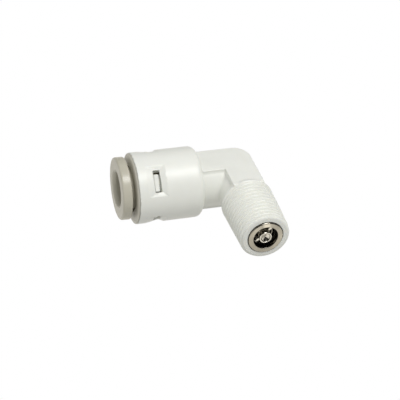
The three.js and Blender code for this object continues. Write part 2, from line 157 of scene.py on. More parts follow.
# collar
COLLAR_BACK = 20.65
COLLAR_BORE = 4.45
COLLAR_EDGE = 0.55
COLLAR_EDGE_SLOPE = 0.6
COLLAR_MOUTH_ROUND = 0.15
SPIGOT_RADIUS = 5.6

# collet and its grip teeth
FLANGE_THICKNESS = 1.85
FLANGE_ROUND = 0.38
FLANGE_BACK_ROUND = 0.2
BORE_ENTRY = 0.45
BORE_ENTRY_ROUND = 0.25
COLLET_SKEW = math.radians(2.5)     # the loose collet's axis slopes up towards the flange, its faces do not
COLLET_PIVOT = 15.0                 # station where the skewed collet is still centred
COLLET_SLACK = 0.35                 # how far the skew may take it out of its CAD box
COLLET_BARREL = 4.1
COLLET_LIP = 4.75
COLLET_LIP_LENGTH = 1.1
COLLET_CONE_LENGTH = 1.4
FINGER_COUNT = 8
FINGER_SLOT = 0.55
FINGER_SLOT_FRONT = 20.0
TOOTH_BACK = 15.0
TOOTH_THICKNESS = 0.22
TOOTH_WIDTH = 1.1
TOOTH_TIP = 3.02
TOOTH_ROOT = 4.2
TOOTH_GAP = 0.1
TOOTH_GRIND = 0.6

# seals: ring radius, wire radius, station
TUBE_SEAL = (3.96, 0.85, 10.65)
CARTRIDGE_SEAL = (2.72, 0.4, 10.12)
POPPET_SEAL = (1.62, 0.3, 11.87)

# check valve
HOUSING_RADIUS = 3.05
HOUSING_BORE = 2.6
VALVE_SEAT = 11.45
VALVE_SEAT_RADIUS = 1.6
RIM_THICKNESS = 0.5
RIM_ROUND = 0.24
RIM_LIP = 2.38
LIP_BACK = 19.55
POPPET_NOSE_RADIUS = 1.2
POPPET_HEAD = (12.25, 12.85)
STEM_RADIUS = 0.82
STEM_DISH = 0.4
SPRING_RADIUS = 1.8
SPRING_WIRE = 0.17
SPRING_TURNS = 5
SPRING_END_TURNS = 1.6
SPRING_FLAT_TURN = 0.8              # part of the coil at each end that is closed and flattened
SPRING_EASE = 0.35
SPRING_SIDES = 12
SPRING_STEPS = 260
SPIDER_FRONT = 19.1
SPIDER_BORE = 2.12
HUB_RADIUS = 1.2
HUB_BORE = 0.92
SPOKE_COUNT = 4
SPOKE_HALF_WIDTH = 0.25


# ---------------------------------------------------------------- distance functions

def both(a, b, rounding=0.0):
    """Inside a and inside b, with the edge between them rounded."""
    outside = np.hypot(np.maximum(rounding + a, 0), np.maximum(rounding + b, 0))
    return np.minimum(-rounding, np.maximum(a, b)) + outside


def either(a, b, fillet=0.0):
    """Inside a or b, with a fillet in the corner between them."""
    inside = np.hypot(np.maximum(fillet - a, 0), np.maximum(fillet - b, 0))
    return np.maximum(fillet, np.minimum(a, b)) - inside


def without(a, b, rounding=0.0):
    return both(a, -b, rounding)


def band(value, low, high):
    return np.maximum(low - value, value - high)


def smooth_step(value, low, high):
    share = np.clip((value - low) / (high - low), 0, 1)
    return share * share * (3 - 2 * share)


def disc(radius, station, outer, back, front, rounding):
    return both(both(radius - outer, back - station, rounding), station - front, rounding)


def bores(radius, station, sizes):
    """Bores that each run from their back station out of the leg's end."""
    return np.minimum.reduce([both(radius - size, back - station) for size, back in sizes])


def socket_place(x, y, z):
    """Station, radius and turn on the socket leg. A turn is counted from -Y up towards +Z."""
    return -x, np.hypot(y, z), np.arctan2(z, -y)


def nipple_place(x, y, z):
    """Station, radius and turn on the nipple leg. A turn is counted from +X up towards +Z."""
    return -y, np.hypot(x, z), np.arctan2(z, x)


def folded(turn, start, count):
    """The turn from the nearest of several evenly spaced places, the first of them at start."""
    step = FULL_TURN / count
    return np.mod(turn - start + step / 2, step) - step / 2


def pocket_depth(station, turn):
    arc = SOCKET_RADIUS * np.abs(folded(turn, WINDOW_TURN, WINDOW_COUNT))
    back = (station - BORDER_BACK) / (WINDOW_BACK - BORDER_BACK)
    front = (RAMP_FRONT - station) / RAMP_LENGTH
    side = (BORDER_HALF_WIDTH - arc) / (BORDER_HALF_WIDTH - WINDOW_HALF_WIDTH)
    return POCKET_DEPTH * np.clip(np.minimum(np.minimum(back, front), side), 0, 1)


def window_hole(station, radius, turn):
    near = folded(turn, WINDOW_TURN, WINDOW_COUNT)
    side = np.abs(radius * np.sin(near)) - WINDOW_HALF_WIDTH
    reach = BORES[-2][0] - radius * np.cos(near)
    return np.maximum(np.maximum(side, reach), band(station, WINDOW_BACK, WINDOW_FRONT))


def nipple_surface(station, turn):
    """Radius of the nipple's outside: neck, flare, then a right-handed thread with rounded crests."""
    crest = THREAD_RADIUS - (station - THREAD_START) * THREAD_TAPER
    rise = smooth_step(station, FLARE_BACK, FLARE_FRONT)
    turns = station / THREAD_PITCH - turn / FULL_TURN
    groove = 0.5 - 0.5 * np.cos(FULL_TURN * turns)
    run_in = smooth_step(station, THREAD_START - THREAD_PITCH / 2, THREAD_START + THREAD_PITCH / 2)
    return NIPPLE_NECK_RADIUS + (crest - NIPPLE_NECK_RADIUS) * rise - THREAD_DEPTH * groove * run_in


def pad_outline(x, y):
    """Distance to the L-shaped outline of a wrench pad, seen from above."""
    corner = np.maximum(x, 0) * SOCKET_PAD_HALF_WIDTH / NIPPLE_PAD_HALF_WIDTH
    socket_side = np.hypot(corner, y) - SOCKET_PAD_HALF_WIDTH
    wide = np.abs(x) - NIPPLE_PAD_HALF_WIDTH
    long = np.abs(y + PAD_END / 2) - PAD_END / 2
    outside = np.hypot(np.maximum(wide, 0), np.maximum(long, 0))
    nipple_side = outside + np.minimum(np.maximum(wide, long), 0)
    return np.minimum(socket_side, nipple_side)


def elbow_body(x, y, z):
    station, radius, turn = socket_place(x, y, z)
    outside = radius - (SOCKET_RADIUS - pocket_depth(station, turn))
    socket = both(both(outside, SHOULDER - station, SHOULDER_ROUND), station - SOCKET_MOUTH, MOUTH_ROUND)
    reach, width, angle = nipple_place(x, y, z)
    neck = radius - SOCKET_NECK_RADIUS
    corner = both(neck, width - NIPPLE_NECK_RADIUS, CORNER_ROUND * smooth_step(x, 0, CORNER_ROUND))
    neck = np.maximum(np.where(station > 0, neck, corner), station - SHOULDER - SHOULDER_ROUND)
    chamfer = (width - NIPPLE_END_RADIUS + reach - NIPPLE_END) / math.sqrt(2)
    threaded = both(width - nipple_surface(reach, angle), chamfer, CHAMFER_ROUND)
    nipple = np.maximum(both(threaded, reach - NIPPLE_END, NIPPLE_END_ROUND), -reach)

    level = np.abs(z) - PAD_HEIGHT
    round_part = both(either(neck, nipple, CROTCH_FILLET), level, PAD_ROUND)
    beyond_pads = np.maximum(nipple, FLARE_BACK - reach)
    pads = both(np.maximum(pad_outline(x, y), -x - SHOULDER - SHOULDER_ROUND), level, PAD_ROUND)
    solid = either(np.minimum(either(round_part, pads, PAD_FILLET), beyond_pads), socket, PAD_FILLET)

    hollow = np.minimum.reduce([
        bores(radius, station, BORES),
        bores(width, reach, NIPPLE_BORES),
        np.hypot(radius, x) - BORES[0][0],
    ])
    solid = without(solid, hollow, BORE_EDGE)
    return without(solid, window_hole(station, radius, turn), WINDOW_EDGE)


def collet_holder(x, y, z):
    station, radius, turn = socket_place(x, y, z)
    cone_share = np.clip((station - HOLDER_CONE[0]) / (HOLDER_CONE[1] - HOLDER_CONE[0]), 0, 1)
    bore = HOLDER_WIDE + (HOLDER_THROAT - HOLDER_WIDE) * cone_share
    sleeve = both(radius - HOLDER_RADIUS, bore - radius, 0.05)
    sleeve = both(sleeve, band(station, HOLDER_BACK, HOLDER_FRONT), 0.05)
    near = folded(turn, WINDOW_TURN + HOOK_OFFSET, WINDOW_COUNT)
    out, side = radius * np.cos(near), radius * np.sin(near)
    slope = (HOOK_RADIUS_FRONT - HOOK_RADIUS_BACK) / (HOOK_FRONT - HOOK_BACK)
    top = HOOK_RADIUS_BACK + (station - HOOK_BACK) * slope
    hook = both(np.abs(side) - HOOK_HALF_WIDTH, band(station, HOOK_BACK, HOOK_FRONT), 0.04)
    hook = np.maximum(both(hook, out - top, 0.06), HOLDER_WIDE + 0.1 - out)
    slit_middle = HOOK_HALF_WIDTH + HOOK_SLIT / 2
    slit = np.maximum(np.abs(np.abs(side) - slit_middle) - HOOK_SLIT / 2, station - HOOK_SLIT_FRONT)
    slit = np.maximum(slit, 1 - out)
    return without(either(sleeve, hook, HOOK_FILLET), slit, 0.03)


def front_collar(x, y, z):
    station, radius, _ = socket_place(x, y, z)
    edge = (station - COLLAR_BACK) / (COLLAR_FRONT - COLLAR_BACK)
    outline = COLLAR_RADIUS - COLLAR_EDGE * np.clip(edge, 0, 1) ** 2
    collar = both((radius - outline) * COLLAR_EDGE_SLOPE, band(station, COLLAR_BACK, COLLAR_FRONT), 0.05)
    spigot = disc(radius, station, SPIGOT_RADIUS, SPIGOT_BACK, COLLAR_FRONT - 0.3, 0.08)
    return without(np.minimum(collar, spigot), radius - COLLAR_BORE, COLLAR_MOUTH_ROUND)


def straightened(x, y, z):
    """Place on a centred collet of a place on the loose one, whose flange stands a little high."""
    return x, y, z - (-x - COLLET_PIVOT) * math.tan(COLLET_SKEW)


def collet(x, y, z):
    station, radius, turn = socket_place(*straightened(x, y, z))
    flange_back = COLLET_FRONT - FLANGE_THICKNESS
    flange = both(radius - FLANGE_RADIUS, station - COLLET_FRONT, FLANGE_ROUND)
    flange = both(flange, flange_back - station, FLANGE_BACK_ROUND)
    entry = (TUBE_BORE_RADIUS + station - COLLET_FRONT + BORE_ENTRY - radius) / math.sqrt(2)
    lip_front = COLLET_TIP + COLLET_LIP_LENGTH
    cone = (station - lip_front) / COLLET_CONE_LENGTH
    outline = COLLET_LIP + (COLLET_BARREL - COLLET_LIP) * np.clip(cone, 0, 1)
    barrel = both(both(radius - outline, COLLET_TIP - station, 0.2), station - COLLET_FRONT + 0.6)
    bore = both(TUBE_BORE_RADIUS - radius, entry, BORE_ENTRY_ROUND)
    solid = both(either(flange, barrel, 0.15), bore, 0.1)
    near = folded(turn, FULL_TURN / FINGER_COUNT / 2, FINGER_COUNT)
    slot = np.maximum(np.abs(radius * np.sin(near)) - FINGER_SLOT / 2, station - FINGER_SLOT_FRONT)
    finger = folded(turn, 0, FINGER_COUNT)
    pocket = np.maximum(np.abs(radius * np.sin(finger)) - TOOTH_WIDTH / 2 - TOOTH_GAP,
                        band(station, TOOTH_BACK - TOOTH_GAP, TOOTH_BACK + TOOTH_THICKNESS + TOOTH_GAP))
    pocket = np.maximum(pocket, radius - TOOTH_ROOT - TOOTH_GAP)
    return without(without(solid, slot, 0.06), pocket, 0.02)


def grip_tooth(turn):
    """Blade with an edge ground towards the tube, at this turn about the socket's axis."""
    def distance(x, y, z):
        x, y, z = straightened(x, y, z)
        out = -y * math.cos(turn) + z * math.sin(turn)
        side = y * math.sin(turn) + z * math.cos(turn)
        ground = (TOOTH_TIP - out + (-x - TOOTH_BACK) * TOOTH_GRIND) / math.hypot(1, TOOTH_GRIND)
        blade = both(np.abs(side) - TOOTH_WIDTH / 2, band(out, TOOTH_TIP, TOOTH_ROOT), 0.08)
        return both(np.maximum(blade, ground), band(-x, TOOTH_BACK, TOOTH_BACK + TOOTH_THICKNESS), 0.03)
    return distance


def spacer_ring(x, y, z):
    station, radius, _ = socket_place(x, y, z)
    ring = disc(radius, station, SPACER_RADIUS, SPACER_BACK, SPACER_FRONT, 0.1)
    return without(ring, radius - TUBE_BORE_RADIUS - 0.1, 0.1)


def seal(place, ring_radius, wire, middle_station):
    def distance(x, y, z):
        station, radius, _ = place(x, y, z)
        return np.hypot(radius - ring_radius, station - middle_station) - wire
    return distance


def valve_housing(x, y, z):
    station, radius, _ = nipple_place(x, y, z)
    rim_back = RIM_FRONT - RIM_THICKNESS
    rim = both(both(radius - RIM_RADIUS, station - RIM_FRONT, RIM_ROUND), rim_back - station, 0.05)
    shell = disc(radius, station, HOUSING_RADIUS, HOUSING_BACK, RIM_FRONT - 0.2, 0.15)
    chamber = both(radius - HOUSING_BORE, band(station, VALVE_SEAT, LIP_BACK))
    throat = radius - VALVE_SEAT_RADIUS
    mouth = both(radius - RIM_LIP, LIP_BACK - 0.1 - station)
    hollow = np.minimum(np.minimum(chamber, mouth), np.maximum(throat, station - VALVE_SEAT - 0.1))
    return without(either(rim, shell, 0.08), hollow, 0.1)


def valve_poppet(x, y, z):
    station, radius, _ = nipple_place(x, y, z)
    nose = disc(radius, station, POPPET_NOSE_RADIUS, POPPET_NOSE, POPPET_HEAD[1], 0.15)
    head = disc(radius, station, POPPET_HEAD_RADIUS, *POPPET_HEAD, 0.1)
    stem = both(both(radius - STEM_RADIUS, station - STEM_END, 0.04), POPPET_HEAD[0] - station)
    dish = (STEM_RADIUS - 0.04 - radius) * STEM_DISH / STEM_RADIUS - (STEM_END - station)
    return either(np.minimum(nose, head), both(stem, dish * 0.9, 0.03), 0.15)


def spider_retainer(x, y, z):
    station, radius, turn = nipple_place(x, y, z)
    ring = without(disc(radius, station, SPIDER_RADIUS, SPIDER_BACK, SPIDER_FRONT, 0.06),
                   radius - SPIDER_BORE, 0.06)
    near = folded(turn, FULL_TURN / SPOKE_COUNT / 2, SPOKE_COUNT)
    spoke = both(np.abs(radius * np.sin(near)) - SPOKE_HALF_WIDTH,
                 band(station, SPIDER_BACK, SPIDER_FRONT), 0.06)
    spoke = np.maximum(spoke, band(radius, HUB_BORE + 0.1, SPIDER_BORE + 0.15))
    hub = disc(radius, station, HUB_RADIUS, SPIDER_BACK, HUB_FRONT, 0.12)
    hub = without(hub, radius - HUB_BORE, 0.08)
    return either(np.minimum(ring, hub), spoke, 0.12)


# ---------------------------------------------------------------- skinning a distance function

CORNERS = list(itertools.product((0, 1), repeat=3))
EDGES = [(a, b) for a, b in itertools.combinations(range(8), 2)
         if sum(i != j for i, j in zip(CORNERS[a], CORNERS[b])) == 1]
GRADIENT_STEP = 0.004
SETTLING_STEPS = 5
LEAST_STEEPNESS = 0.05
BOX_MARGIN_CELLS = 2.5
ELBOW_MARGIN = 0.4


def spaced(low, high, cell):
    return np.linspace(low, high, max(2, math.ceil((high - low) / cell) + 1))


def gradient(distance, points):
    columns = []
    for axis in range(3):
        step = np.zeros(3)
        step[axis] = GRADIENT_STEP
        ahead = distance(*(points + step).T)
        behind = distance(*(points - step).T)
        columns.append((ahead - behind) / (2 * GRADIENT_STEP))
    return np.stack(columns, axis=1)


def skin(distance, grid):
    """Vertices and quads of the surface where distance is zero, by one vertex in each grid cell that
    the surface crosses. The vertices are then settled onto the surface along its gradient."""
    x, y, z = grid
    values = distance(x[:, None, None], y[None, :, None], z[None, None, :])
    values = np.ascontiguousarray(np.broadcast_to(values, (len(x), len(y), len(z))))
    inside = values < 0
    count = np.zeros(tuple(len(line) - 1 for line in grid), np.int8)
    for i, j, k in CORNERS:
        count += inside[i:len(x) - 1 + i, j:len(y) - 1 + j, k:len(z) - 1 + k]
    cells = np.argwhere((count > 0) & (count < 8))
    number = np.full(count.shape, -1, np.int64)
    number[tuple(cells.T)] = np.arange(len(cells))

    corner_index = [cells + np.array(corner) for corner in CORNERS]
    corner_value = [values[tuple(index.T)] for index in corner_index]
    corner_place = [np.stack([line[index[:, axis]] for axis, line in enumerate(grid)], axis=1)
                    for index in corner_index]
    total = np.zeros((len(cells), 3))
    crossings = np.zeros(len(cells))
    for a, b in EDGES:
        crosses = (corner_value[a] < 0) != (corner_value[b] < 0)
        fall = corner_value[a][crosses] / (corner_value[a][crosses] - corner_value[b][crosses])
        start = corner_place[a][crosses]
        total[crosses] += start + fall[:, None] * (corner_place[b][crosses] - start)
        crossings[crosses] += 1
    points = total / crossings[:, None]

    reach = min(np.diff(line).max() for line in grid) / 2
    for _ in range(SETTLING_STEPS):
        slope = gradient(distance, points)
        steep = np.maximum((slope ** 2).sum(axis=1), LEAST_STEEPNESS)
        move = slope * (distance(*points.T) / steep)[:, None]
        length = np.maximum(np.linalg.norm(move, axis=1), 1e-9)
        points -= move * np.minimum(1, reach / length)[:, None]

    quads = []
    for axis in range(3):
        after, later = (axis + 1) % 3, (axis + 2) % 3
        lower = np.take(inside, range(inside.shape[axis] - 1), axis=axis)
        upper = np.take(inside, range(1, inside.shape[axis]), axis=axis)
        for flag, order in ((lower & ~upper, 1), (~lower & upper, -1)):
            edges = np.argwhere(flag)
            keep = (edges[:, after] > 0) & (edges[:, later] > 0)
            keep &= (edges[:, after] < count.shape[after]) & (edges[:, later] < count.shape[later])
            edges = edges[keep]
            ring = []
            for back_after, back_later in ((1, 1), (0, 1), (0, 0), (1, 0)):
                cell = edges.copy()
                cell[:, after] -= back_after
                cell[:, later] -= back_later
                ring.append(number[tuple(cell.T)])
            quads.append(np.stack(ring[::order], axis=1))
    return points, np.concatenate(quads)


def make_piece(name, points, faces, body, material, normals=None):
    """An object from points in millimetres from the elbow's centre. It stands for the CAD node that
    has its name."""
    mesh = bpy.data.meshes.new(name)
    place = np.asarray(points) * MM + np.array(CENTRE)
    mesh.from_pydata(place.tolist(), [], [list(face) for face in faces])
    mesh.polygons.foreach_set("use_smooth", [True] * len(mesh.polygons))
    if normals is not None:
        mesh.normals_split_custom_set_from_vertices(normals.tolist())
    mesh.materials.append(material)
    piece = bpy.data.objects.new(name + "_visual", mesh)
    bpy.context.scene.collection.objects.link(piece)
    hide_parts(name)
    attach(piece, body)
    return piece


def box_grid(name, cell, slack=0.0):
    """Even grid lines round a CAD node's box, with slack for a piece that may lie outside it."""
    low, high = (np.array(corner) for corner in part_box(name))
    margin = BOX_MARGIN_CELLS * cell + slack
    low = (low - np.array(CENTRE)) / MM - margin
    high = (high - np.array(CENTRE)) / MM + margin
    return [spaced(low[axis], high[axis], cell) for axis in range(3)]


def skinned_piece(name, distance, grid, body, material):
    points, quads = skin(distance, grid)
    slope = gradient(distance, points)
    normals = slope / np.maximum(np.linalg.norm(slope, axis=1), 1e-6)[:, None]
    return make_piece(name, points, quads.tolist(), body, material, normals)


# ---------------------------------------------------------------- materials

NOISE_RANGE = (0.3, 0.7)
PAINTED_SHADE_REACH = 4        # radius, in millimetres, where a turned metal's painted shade ends


def new_material(name, base_color, roughness, metallic=0.0):
    material = bpy.data.materials.new(name)
    material.use_nodes = True
    nodes = material.node_tree.nodes
    shader = nodes["Principled BSDF"]
    shader.inputs["Base Color"].default_value = (*base_color, 1)
    shader.inputs["Roughness"].default_value = roughness
    shader.inputs["Metallic"].default_value = metallic
    return material, nodes, material.node_tree.links, shader


def noise(nodes, links, vector, scale, detail=3.0):
    texture = nodes.new("ShaderNodeTexNoise")
    texture.inputs["Scale"].default_value = scale
    texture.inputs["Detail"].default_value = detail
    links.new(vector, texture.inputs["Vector"])
    return texture.outputs["Fac"]


def ramp(nodes, links, factor, low, high, low_color, high_color):
    ramp_node = nodes.new("ShaderNodeValToRGB")
    ends = ramp_node.color_ramp.elements
    ends[0].position, ends[1].position = low, high
    ends[0].color, ends[1].color = (*low_color, 1), (*high_color, 1)
    links.new(factor, ramp_node.inputs["Fac"])
    return ramp_node.outputs["Color"]


def remap(nodes, links, value, low, high):
    """Spread a noise's usual range over low to high."""
    node = nodes.new("ShaderNodeMapRange")
    node.inputs["From Min"].default_value, node.inputs["From Max"].default_value = NOISE_RANGE
    node.inputs["To Min"].default_value = low
    node.inputs["To Max"].default_value = high
    links.new(value, node.inputs["Value"])
    return node.outputs["Result"]


def bump(nodes, links, height, strength, distance):
    node = nodes.new("ShaderNodeBump")
    node.inputs["Strength"].default_value = strength
    node.inputs["Distance"].default_value = distance
    links.new(height, node.inputs["Height"])
    return node.outputs["Normal"]


def moulded_plastic(name, light, dark, roughness, grain):
    """Moulded acetal: faint flow mottling of a few millimetres and a fine spark-eroded grain."""
    material, nodes, links, shader = new_material(name, light, roughness)
    place = nodes.new("ShaderNodeTexCoord").outputs["Object"]
    mottle = noise(nodes, links, place, 260, 4)
    links.new(ramp(nodes, links, mottle, 0.3, 0.62, dark, light), shader.inputs["Base Color"])
    fine = noise(nodes, links, place, 7000)
    links.new(remap(nodes, links, fine, roughness - 0.05, roughness + 0.07), shader.inputs["Roughness"])
    links.new(bump(nodes, links, noise(nodes, links, place, 11000), grain, 4e-6), shader.inputs["Normal"])
    shader.inputs["Subsurface Weight"].default_value = 0.12
    shader.inputs["Subsurface Radius"].default_value = (1.0, 0.9, 0.75)
    shader.inputs["Subsurface Scale"].default_value = 0.0006
    return material


def stepped_ramp(nodes, links, factor, steps):
    """Grey levels at positions from 0 to 1, blended between. The first level also counts from 0."""
    node = nodes.new("ShaderNodeValToRGB")
    stops = node.color_ramp.elements
    stops.remove(stops[1])
    stops[0].position, stops[0].color = 0, (*[steps[0][1]] * 3, 1)
    for position, level in steps[1:]:
        stops.new(position).color = (level, level, level, 1)
    links.new(factor, node.inputs["Fac"])
    return node.outputs["Color"]


def multiplied(nodes, links, first, second):
    node = nodes.new("ShaderNodeMixRGB")
    node.blend_type = "MULTIPLY"
    node.inputs["Fac"].default_value = 1
    links.new(first, node.inputs[1])
    links.new(second, node.inputs[2])
    return node.outputs["Color"]


def turned_metal(name, light, dark, roughness, grooves, painted_shades, painted_reflection_fans):
    """Metal turned about the nipple's axis: fine concentric tool marks and a slight tarnish, with painted
    shade and painted reflections in its colour. Each shade is a radius in millimetres and how much of the
    colour is
    left from there outwards: painted shade in hollows and a painted dark reflection on edges. Each fan is a
    share of a turn and how much of the colour is left there: painted reflections, light and dark wedges
    fixed in the colour where turned tool marks would mirror light and dark."""
    material, nodes, links, shader = new_material(name, light, roughness, 1.0)
    place = nodes.new("ShaderNodeTexCoord").outputs["Object"]
    shift = nodes.new("ShaderNodeMapping")
    shift.inputs["Location"].default_value = (-CENTRE.x, -CENTRE.y, -CENTRE.z)
    links.new(place, shift.inputs["Vector"])
    flat = nodes.new("ShaderNodeVectorMath")
    flat.operation = "MULTIPLY"
    flat.inputs[1].default_value = (1, 0, 1)
    links.new(shift.outputs["Vector"], flat.inputs[0])
    distance = nodes.new("ShaderNodeVectorMath")
    distance.operation = "LENGTH"
    links.new(flat.outputs["Vector"], distance.inputs[0])
    marks = nodes.new("ShaderNodeTexNoise")
    marks.noise_dimensions = "1D"
    marks.inputs["Scale"].default_value = 16000
    marks.inputs["Detail"].default_value = 2
    links.new(distance.outputs["Value"], marks.inputs["W"])
    tarnish = ramp(nodes, links, noise(nodes, links, place, 900, 4), 0.35, 0.65, dark, light)
    reach = nodes.new("ShaderNodeMapRange")
    reach.inputs["From Max"].default_value = PAINTED_SHADE_REACH * MM
    links.new(distance.outputs["Value"], reach.inputs["Value"])
    # painted shade: the colour darkened by radius, for hollows and edges that should look dark
    shade = stepped_ramp(nodes, links, reach.outputs["Result"],
                         [(radius / PAINTED_SHADE_REACH, share) for radius, share in painted_shades])
    split = nodes.new("ShaderNodeSeparateXYZ")
    links.new(shift.outputs["Vector"], split.inputs["Vector"])
    angle = nodes.new("ShaderNodeMath")
    angle.operation = "ARCTAN2"
    links.new(split.outputs["Z"], angle.inputs[0])
    links.new(split.outputs["X"], angle.inputs[1])
    around = nodes.new("ShaderNodeMapRange")
    around.inputs["From Min"].default_value = -math.pi
    around.inputs["From Max"].default_value = math.pi
    links.new(angle.outputs["Value"], around.inputs["Value"])
    # painted reflections: light and dark wedges in the colour by angle about the axis
    painted_reflections = stepped_ramp(nodes, links, around.outputs["Result"], painted_reflection_fans)
    color = multiplied(nodes, links, multiplied(nodes, links, tarnish, shade), painted_reflections)
    links.new(color, shader.inputs["Base Color"])
    links.new(remap(nodes, links, marks.outputs["Fac"], roughness - 0.06, roughness + 0.08),
              shader.inputs["Roughness"])
    links.new(bump(nodes, links, marks.outputs["Fac"], grooves, 3e-6), shader.inputs["Normal"])
    return material


def spring_wire(name, light, dark):
    """Drawn stainless wire and blade, with short scratches."""
    material, nodes, links, shader = new_material(name, light, 0.2, 1.0)
    place = nodes.new("ShaderNodeTexCoord").outputs["Object"]
    scratches = noise(nodes, links, place, 9000, 5)
    links.new(ramp(nodes, links, scratches, 0.35, 0.6, dark, light), shader.inputs["Base Color"])
    links.new(remap(nodes, links, scratches, 0.13, 0.3), shader.inputs["Roughness"])
    links.new(bump(nodes, links, scratches, 0.1, 2e-6), shader.inputs["Normal"])
    return material


def seal_rubber(name):
    material, nodes, links, shader = new_material(name, (0.02, 0.02, 0.022), 0.45)
    place = nodes.new("ShaderNodeTexCoord").outputs["Object"]
    bloom = noise(nodes, links, place, 1500, 4)
    links.new(ramp(nodes, links, bloom, 0.4, 0.7, (0.014, 0.014, 0.016), (0.03, 0.03, 0.032)),
              shader.inputs["Base Color"])
    links.new(remap(nodes, links, bloom, 0.38, 0.55), shader.inputs["Roughness"])
    links.new(bump(nodes, links, noise(nodes, links, place, 9000), 0.15, 5e-6), shader.inputs["Normal"])
    return material


# painted reflections on the dished end of the stem, light and dark wedges in its colour: share of a turn
# from -X by way of -Z, brightness
STEM_PAINTED_REFLECTIONS = [(0, 0.5), (0.08, 0.75), (0.16, 0.55), (0.2, 0.05), (0.26, 0.05), (0.28, 1.0), (0.31, 1.0),
             (0.33, 0.04), (0.4, 0.04), (0.43, 0.75), (0.55, 0.8), (0.62, 1.0), (0.8, 1.0), (0.9, 0.5)]

# the same painted reflections for the flat rim of the cartridge, with a painted highlight sliver at the top
RIM_PAINTED_REFLECTIONS = [(0, 0.95), (0.1, 0.85), (0.25, 0.78), (0.4, 1.0), (0.5, 1.1), (0.62, 0.88),
            (0.7, 0.95), (0.73, 1.8), (0.77, 1.8), (0.8, 1.0), (0.85, 1.2), (0.94, 1.1), (1, 0.95)]

WHITE = moulded_plastic("body_plastic", (0.865, 0.872, 0.815), (0.84, 0.848, 0.79), 0.36, 0.2)
IVORY = moulded_plastic("collet_plastic", (0.56, 0.535, 0.44), (0.51, 0.49, 0.4), 0.28, 0.2)
# The collar's plastic is a lighter copy of the collet's ivory: painted light.
LIT_COLLAR_IVORY = moulded_plastic("lit_collar_plastic", (0.62, 0.6, 0.52), (0.58, 0.56, 0.475), 0.33, 0.2)
ACETAL = moulded_plastic("inner_plastic", (0.6, 0.57, 0.49), (0.56, 0.53, 0.45), 0.35, 0.15)
# The housing's colour is painted near black inside the lip as painted shade in its hollow, and darkened on
# the rim's outer edge as a painted dark reflection.
HOUSING_METAL = turned_metal("valve_metal", (0.55, 0.52, 0.445), (0.48, 0.45, 0.38), 0.24, 0.25,
                             [(0, 0.04), (RIM_LIP - 0.02, 0.04), (RIM_LIP + 0.06, 1),
                              (RIM_RADIUS - 0.13, 1), (RIM_RADIUS - 0.04, 0.45)], RIM_PAINTED_REFLECTIONS)
# The spider's colour is painted near black outside its spokes' reach, as painted shade in the cartridge's
# hollow.
SPIDER_METAL = turned_metal("spider_metal", (0.95, 0.92, 0.84), (0.8, 0.77, 0.69), 0.18, 0.3,
                            [(0, 1), (1.95, 1), (2.15, 0.06)], [(0, 1), (0.5, 0.9), (0.75, 1)])
STEM_METAL = turned_metal("stem_metal", (0.97, 0.94, 0.86), (0.88, 0.85, 0.77), 0.22, 0.3,
                          [(0, 1), (STEM_RADIUS, 1)], STEM_PAINTED_REFLECTIONS)
SPRING_STEEL = spring_wire("spring_steel", (0.76, 0.74, 0.7), (0.55, 0.53, 0.49))
# The coil is a darker copy of the spring steel: painted shade for the dark chamber it sits in.
SHADED_COIL_STEEL = spring_wire("shaded_coil_steel", (0.6, 0.57, 0.5), (0.3, 0.28, 0.24))
RUBBER = seal_rubber("seal_rubber")


# ---------------------------------------------------------------- pieces

def joined(edges, cells):
    """Grid lines between the edges in turn, each stretch with its own cell size."""
    stretches = [spaced(low, high, cell) for low, high, cell in zip(edges, edges[1:], cells)]
    return np.concatenate([stretches[0]] + [stretch[1:] for stretch in stretches[1:]])


def elbow_grid():
    """Cells for the elbow body, closer together along the thread."""
    side = SOCKET_RADIUS + ELBOW_MARGIN
    nipple = THREAD_RADIUS + ELBOW_MARGIN
    thread_back = -THREAD_START + THREAD_PITCH
    return [
        joined([-SOCKET_MOUTH - ELBOW_MARGIN, -nipple, nipple], [0.26, 0.175]),
        joined([-NIPPLE_END - ELBOW_MARGIN, thread_back, nipple, side], [0.12, 0.25, 0.3]),
        joined([-side, -nipple, nipple, side], [0.27, 0.18, 0.27]),
    ]


def make_spring():
    """Coil with closed, flattened end turns, swept as a mesh tube."""
    sides, steps, wire = SPRING_SIDES, SPRING_STEPS, SPRING_WIRE
    turns = SPRING_TURNS + SPRING_END_TURNS
    share = np.linspace(0, 1, steps + 1)
    end_turn = SPRING_FLAT_TURN / turns
    climb = smooth_step(share, end_turn * SPRING_EASE, 1 - end_turn * SPRING_EASE)
    angle = share * turns * FULL_TURN
    station = SPRING_BACK + wire + climb * (SPRING_FRONT - SPRING_BACK - 2 * wire)
    path = np.stack([SPRING_RADIUS * np.cos(angle), -station, SPRING_RADIUS * np.sin(angle)], axis=1)
    ahead = np.gradient(path, axis=0)
    ahead /= np.linalg.norm(ahead, axis=1)[:, None]
    out = path * np.array([1, 0, 1]) / SPRING_RADIUS
    lift = np.cross(ahead, out)
    points = []
    for side in range(sides):
        around = side * FULL_TURN / sides
        points.append(path + wire * (math.cos(around) * out + math.sin(around) * lift))
    points = np.stack(points, axis=1).reshape(-1, 3)
    faces = []
    for step, side in itertools.product(range(steps), range(sides)):
        beside = (side + 1) % sides
        here, there = step * sides, (step + 1) * sides
        faces.append([here + side, here + beside, there + beside, there + side])
    faces.append(list(range(sides))[::-1])
    faces.append([steps * sides + side for side in range(sides)])
    return make_piece("valve_spring", points, faces, "fitting", SHADED_COIL_STEEL)


